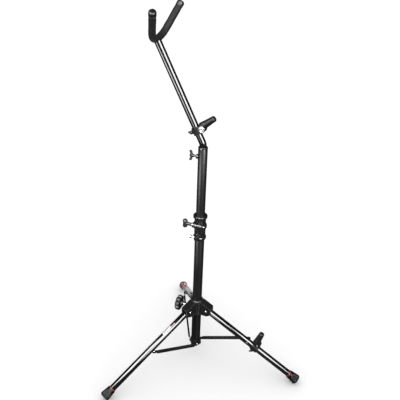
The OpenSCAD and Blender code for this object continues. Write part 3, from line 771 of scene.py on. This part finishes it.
def build_wings():
    low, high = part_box("top_wing")
    m = basis(Vector((high.x, 0, centre("top_wing").z)), -X, Z)
    wing_screw("top_wing_head", "top_wing", m, high.z - low.z, 9 * MM)
    for part in ("arm", "leg"):
        node = f"{part}_wing"
        out = joint_axis(f"{part}_screw_turn")
        spread = lean_to(part) * math.cos(WING_TURN) - Y * math.sin(WING_TURN)
        m = basis(joint_pos(f"{part}_screw_turn"), out, spread)
        m.translation = m.translation + out * span(node, m)[0]
        wing_screw(f"{node}_head", node, m, 16 * MM, 7 * MM)


# ---- pegs ----

PEG_LEAN = math.radians(11)
PEG_OFFSET = 6 * MM


def lean_to(part):
    """Direction along the tube that a peg leans to: the yoke on the arm, the hub on the leg."""
    return ARM_DIR if part == "arm" else -LEG_DIR


def peg_axis(part):
    out = -joint_axis(f"{part}_screw_turn")
    return out * math.cos(PEG_LEAN) + lean_to(part) * math.sin(PEG_LEAN)


def peg_line(part):
    """A point on the rubber's axis, which runs beside the hinge."""
    axis = peg_axis(part)
    beside = Y.cross(axis)
    return joint_pos(f"{part}_peg_tilt") + beside * math.copysign(PEG_OFFSET, beside.dot(lean_to(part)))


def build_pegs():
    """Rubber pegs: the root wraps the hinge, and fine moulded rings run round the grip."""
    for part in ("arm", "leg"):
        obj = soft_copy(f"{part}_peg_rubber", 0.9 * MM)
        m = basis(peg_line(part), peg_axis(part), Y)
        inv = m.inverted()
        bm = bmesh.new()
        bm.from_mesh(obj.data)
        end = max((inv @ v.co).z for v in bm.verts)
        for k in range(14, int(end / MM) - 4):
            geom = bm.verts[:] + bm.edges[:] + bm.faces[:]
            at = m @ Vector((0, 0, k * MM))
            bmesh.ops.bisect_plane(bm, geom=geom, plane_co=at, plane_no=m.to_3x3() @ Z)
        for v in bm.verts:
            q = inv @ v.co
            if q.z > 13.5 * MM and math.hypot(q.x, q.y) > 5 * MM:
                share = min(1, (q.z - 13.5 * MM) / (3 * MM)) * min(1, max(0, (end - 3 * MM - q.z) / (3 * MM)))
                wave = 0.5 + 0.5 * math.sin((q.z / MM) * 2.1)
                pull = 1 - share * (0.30 * MM * wave + 0.15 * MM) / math.hypot(q.x, q.y)
                v.co = m @ Vector((q.x * pull, q.y * pull, q.z))
        bm.to_mesh(obj.data)
        bm.free()


# ---- pressed steel and fasteners ----

# Width in mm of the rounding along the edges of each pressed, turned or moulded CAD node.
ROUNDING = {
    "hub_bracket": 0.5, "lower_bracket": 0.4, "clutch_band": 0.7, "clutch_collar": 0.9, "arm_clamp": 0.5,
    "leg_clamp": 0.5, "brace_front": 0.35, "brace_rear": 0.35, "brace_side": 0.35, "hub_boss": 0.5,
    "mast_boss": 0.4, "mast_insert": 0.35, "clutch_nut": 0.5, "clutch_band_nut": 0.5, "arm_pivot_nut": 0.4,
    "leg_pivot_nut": 0.4, "arm_peg_core": 0.5, "leg_peg_core": 0.5, "hub_bush": 0.5, "clutch_bush": 0.3,
}


# Pressings whose paint is more worn or duller than their slot's; the hub's wider light grey edges are also a
# painted highlight.
FINISH = {"hub_bracket": "hub_black_wear_and_highlight", "arm_clamp": "clamp_black", "leg_clamp": "clamp_black"}


def build_pressings():
    for node, width in ROUNDING.items():
        obj = soft_copy(node, width * MM)
        if node in FINISH:
            obj.data.materials[0] = MATERIALS[FINISH[node]]


BOLT_R = 3 * MM
SCREW_R = 4 * MM
SOCKET_R = 2.55 * MM


def build_bolts():
    """Pivot bolts: a washer disc and a head with a socket darkened by painted shade on one side, a threaded end on
    the other.
    """
    for part, side in (("arm", 1), ("leg", -1)):
        node = f"{part}_pivot_bolt"
        low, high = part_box(node)
        pivot = joint_pos(f"{part}_peg_tilt")
        start = low.y if side > 0 else high.y
        m = basis(Vector((pivot.x, start, pivot.z)), Y * side, lean_to(part))
        length = high.y - low.y
        bm = bmesh.new()
        head = [(0.4 * MM, 1.0 * MM), (2.3 * MM, 1.0 * MM), (2.5 * MM, 0.15 * MM), (3.6 * MM, 0.1 * MM),
                (4.2 * MM, 0.5 * MM), (4.4 * MM, 1.1 * MM), (4.4 * MM, 1.4 * MM), (0.4 * MM, 1.4 * MM)]
        rows = lathe(bm, m, rounded(head, 0.2 * MM), 40)
        # Painted shade: the socket's floor and walls take black paint (the second material), though the bolt is
        # steel.
        socket = {v for row in rows for v in row if (m.inverted() @ v.co).xy.length < SOCKET_R}
        for face in bm.faces:
            if all(v in socket for v in face.verts):
                face.material_index = 1
        disc = [(1 * MM, 1.2 * MM), (5.2 * MM, 1.2 * MM), (5.6 * MM, 1.45 * MM), (6.4 * MM, 1.45 * MM),
                (6.8 * MM, 1.2 * MM), (8.0 * MM, 1.2 * MM), (8.4 * MM, 1.6 * MM), (8.4 * MM, 3.1 * MM),
                (8.0 * MM, 3.4 * MM), (1 * MM, 3.4 * MM)]
        lathe(bm, m, rounded(disc, 0.2 * MM), 64)
        thread_start = length * 0.7
        shank = [(1 * MM, 3.2 * MM), (BOLT_R, 3.2 * MM), (BOLT_R, thread_start), (1 * MM, thread_start)]
        lathe(bm, m, shank, 32)
        threaded_rod(bm, m, BOLT_R, thread_start, length)
        bolt = stand_for(new_object(f"{node}_turned", bm, 40), node)
        # Second material: black paint that stands as painted shade in the socket.
        bolt.data.materials.append(MATERIALS["bracket_black"])


def build_threads():
    """Clutch screw and band bolt: polished shanks with a real thread where they leave their nuts."""
    low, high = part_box("clutch_screw")
    mid = centre("clutch_screw")
    m = basis(Vector((0, mid.y, mid.z)), X, Z)
    bm = bmesh.new()
    thread_start = 12 * MM
    shank = [(1 * MM, low.x), (SCREW_R, low.x), (SCREW_R, thread_start), (1 * MM, thread_start)]
    lathe(bm, m, fine(shank, 4 * MM), 40)
    threaded_rod(bm, m, SCREW_R, thread_start, high.x - 0.4 * MM, 1.25 * MM, 40)
    washer = [(SCREW_R, -15 * MM), (6.7 * MM, -15 * MM), (7 * MM, -14.7 * MM), (7 * MM, -13.6 * MM),
              (6.7 * MM, -13.3 * MM), (SCREW_R, -13.3 * MM)]
    lathe(bm, m, washer, 48, closed=True)
    stand_for(new_object("clutch_screw_turned", bm), "clutch_screw")

    low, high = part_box("clutch_band_bolt")
    mid = centre("clutch_band_bolt")
    m = basis(Vector((0, mid.y, mid.z)), X, Z)
    bm = bmesh.new()
    head = [(1 * MM, low.x + 0.9 * MM), (1.8 * MM, low.x + 0.9 * MM), (2.2 * MM, low.x),
            (4.0 * MM, low.x + 0.2 * MM), (4.6 * MM, low.x + 1.2 * MM), (4.6 * MM, low.x + 4 * MM),
            (1 * MM, low.x + 4 * MM)]
    lathe(bm, m, rounded(head, 0.4 * MM), 40)
    thread_start = 8 * MM
    shank = [(1 * MM, -18.2 * MM), (BOLT_R, -18.2 * MM), (BOLT_R, thread_start), (1 * MM, thread_start)]
    lathe(bm, m, shank, 32)
    threaded_rod(bm, m, BOLT_R, thread_start, high.x)
    washer = [(BOLT_R, -8.4 * MM), (5.3 * MM, -8.4 * MM), (5.6 * MM, -8.1 * MM), (5.6 * MM, -7.3 * MM),
              (5.3 * MM, -7.0 * MM), (BOLT_R, -7.0 * MM)]
    lathe(bm, m, washer, 40, closed=True)
    stand_for(new_object("clutch_band_bolt_turned", bm), "clutch_band_bolt")


# ---- label on the side leg ----

LABEL_TURN = math.radians(180)
LABEL_WRAP = math.radians(60)
LABEL_FILM = 0.12 * MM
LABEL_STRIPS = {"label_red": (54 * MM, 68 * MM), "label_pale": (69 * MM, 102 * MM)}


def build_label():
    """Two plain printed strips that wrap the upper side of the side leg, with no lettering."""
    MATERIALS["label_red"] = sticker("label_red", rgb(0.11, 0.008, 0.008), rgb(0.03, 0.004, 0.004), 45)
    MATERIALS["label_pale"] = sticker("label_pale", rgb(0.72, 0.72, 0.72), rgb(0.45, 0.46, 0.47), 30)
    m = leg_frame("side")
    r = span("leg_tube_side", m)[2]
    steps = 20
    angles = [LABEL_TURN + LABEL_WRAP * (i / steps - 0.5) for i in range(steps + 1)]
    for name, ends in LABEL_STRIPS.items():
        bm = bmesh.new()
        rows = []
        for z in ends:
            for radius in (r + 0.01 * MM, r + LABEL_FILM):
                rows.append([bm.verts.new(m @ Vector((radius * math.cos(a), radius * math.sin(a), z)))
                             for a in angles])
        inner0, outer0, inner1, outer1 = rows
        for a, b in ((outer0, outer1), (outer1, inner1), (inner1, inner0), (inner0, outer0)):
            for i in range(steps):
                bm.faces.new((a[i], a[i + 1], b[i + 1], b[i]))
        for i in (0, steps):
            bm.faces.new((inner0[i], outer0[i], outer1[i], inner1[i]))
        obj = new_object(name, bm)
        obj.data.materials.append(MATERIALS[name])
        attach(obj, BODY["leg_tube_side"])


# ---- finish of the CAD nodes that stay ----

def paint_nodes():
    for name, obj in frame["nodes"].items():
        if obj.hide_render:
            continue
        mat = MATERIALS[SLOT[name]]
        if not obj.data.materials:
            obj.data.materials.append(mat)
        for slot in obj.material_slots:
            slot.material = mat


# ---- stage ----

CAMERA_AT = Vector((0.4706, -1.2495, 1.2843))
CAMERA_TO = Vector((-0.3112, 0.8210, -0.4786))
CAMERA_ROLL = math.radians(2.19)
CAMERA_LENS = 49.7


def look(at, forward, roll=0.0):
    """Matrix of a camera or light at a point, facing forward."""
    z = -forward.normalized()
    x = Z.cross(z).normalized()
    y = z.cross(x)
    m = Matrix((x, y, z)).transposed()
    m = (m @ Matrix.Rotation(roll, 3, "Z")).to_4x4()
    m.translation = at
    return m


def build_camera():
    data = bpy.data.cameras.new("camera")
    data.lens = CAMERA_LENS
    data.sensor_width = 36
    data.clip_end = 100
    camera = bpy.data.objects.new("camera", data)
    camera.matrix_world = look(CAMERA_AT, CAMERA_TO, CAMERA_ROLL)
    bpy.context.scene.collection.objects.link(camera)
    bpy.context.scene.camera = camera


def panel(name, seen_from, azimuth, elevation, distance, width, height, radiance):
    """Soft box that a point sees at an azimuth and elevation, in degrees. It faces that point."""
    a, e = math.radians(azimuth), math.radians(elevation)
    direction = Vector((math.cos(e) * math.cos(a), math.cos(e) * math.sin(a), math.sin(e)))
    data = bpy.data.lights.new(name, "AREA")
    data.shape = "RECTANGLE"
    data.size = width
    data.size_y = height
    data.energy = radiance * math.pi * width * height
    light = bpy.data.objects.new(name, data)
    light.matrix_world = look(seen_from + direction * distance, -direction)
    light.visible_camera = False
    light.visible_diffuse = False
    bpy.context.scene.collection.objects.link(light)


WORLD_LIGHT = 1.15
BOX_RADIANCE = 16
LOW_BOX_RADIANCE = 9

# How bright reflections see the stage. On the floor a round patch behind the rear leg and a strip
# that runs outwards from the mast stay bright, and the edges of both fade.
FLOOR_IN_GLOSS = 0.05
SKY_IN_GLOSS = 0.04
PATCH_AT = (-0.42, 0.62, 0.0)
PATCH_FADE = (0.28, 0.48)
PATCH_IN_GLOSS = 0.9
STRIP_AZIMUTH = math.radians(-35)
STRIP_FADE = (0.05, 0.30)
STRIP_IN_GLOSS = 0.35


def build_floor():
    """Pale paper sweep. Glossy reflections see a painted glow in its place: dim, but bright at a patch and a
    strip.
    """
    bm = bmesh.new()
    rows = [ring(bm, Matrix.Identity(4), r, -0.0005, 64) for r in (0.5, 2, 8, 30)]
    grid_faces(bm, rows)
    bm.faces.new(rows[0])
    floor = new_object("floor", bm)
    p = Paint("floor", Roughness=0.95, Specular_IOR_Level=0.0)
    p.colour(p.mix(p.noise(3, 3), rgb(0.90, 0.90, 0.90), rgb(0.92, 0.92, 0.92)))
    away = p.tree.nodes.new("ShaderNodeVectorMath")
    away.operation = "DISTANCE"
    p.put(away.inputs[0], p.coords)
    away.inputs[1].default_value = PATCH_AT
    patch = p.remap(away.outputs["Value"], *PATCH_FADE, PATCH_IN_GLOSS, FLOOR_IN_GLOSS)
    place = p.node("ShaderNodeSeparateXYZ", Vector=p.coords)
    angle = p.math("ARCTAN2", place.outputs["Y"], place.outputs["X"])
    aside = p.math("ABSOLUTE", p.math("SUBTRACT", angle, STRIP_AZIMUTH), 0.0)
    strip = p.remap(aside, *STRIP_FADE, STRIP_IN_GLOSS, FLOOR_IN_GLOSS)
    strength = p.math("MAXIMUM", patch, strip)
    # Painted reflection: glossy rays see this emitted glow instead of the lit floor.
    reflection_glow = p.node("ShaderNodeEmission", Color=rgb(1, 1, 1), Strength=strength)
    seen = p.node("ShaderNodeLightPath").outputs["Is Glossy Ray"]
    both = p.tree.nodes.new("ShaderNodeMixShader")
    out = next(n for n in p.tree.nodes if n.type == "OUTPUT_MATERIAL")
    p.put(both.inputs[0], seen)
    p.put(both.inputs[1], p.bsdf.outputs[0])
    p.put(both.inputs[2], reflection_glow.outputs[0])
    p.put(out.inputs["Surface"], both.outputs[0])
    floor.data.materials.append(p.mat)


def build_world():
    world = bpy.data.worlds.new("studio")
    world.use_nodes = True
    tree = world.node_tree
    background = tree.nodes["Background"]
    background.inputs["Color"].default_value = rgb(1, 1, 1)
    path = tree.nodes.new("ShaderNodeLightPath")
    level = tree.nodes.new("ShaderNodeMapRange")
    level.inputs["To Min"].default_value = WORLD_LIGHT
    level.inputs["To Max"].default_value = SKY_IN_GLOSS
    tree.links.new(path.outputs["Is Glossy Ray"], level.inputs["Value"])
    tree.links.new(level.outputs["Result"], background.inputs["Strength"])
    bpy.context.scene.world = world


def build_lights():
    """Soft boxes: right of the camera, above it, and low on its left."""
    panel("box_right", Vector((0, 0, 0.5)), -33, 27, 2.5, 1.7, 2.0, BOX_RADIANCE)
    panel("box_top", Vector((0, 0, 0.2)), -100, 47, 2.5, 2.4, 1.7, BOX_RADIANCE)
    panel("box_low", Vector((-0.07, 0, 0.88)), -117, -17, 2.2, 1.5, 0.6, LOW_BOX_RADIANCE)
    bpy.context.scene.view_settings.view_transform = "Standard"


build_camera()
build_floor()
build_world()
build_lights()
build_legs()
build_masts()
build_mouth_ring()
build_arm()
build_yoke()
build_feet()
build_hub_knob()
build_clutch_knob()
build_wings()
build_pegs()
build_pressings()
build_bolts()
build_threads()
build_label()
paint_nodes()
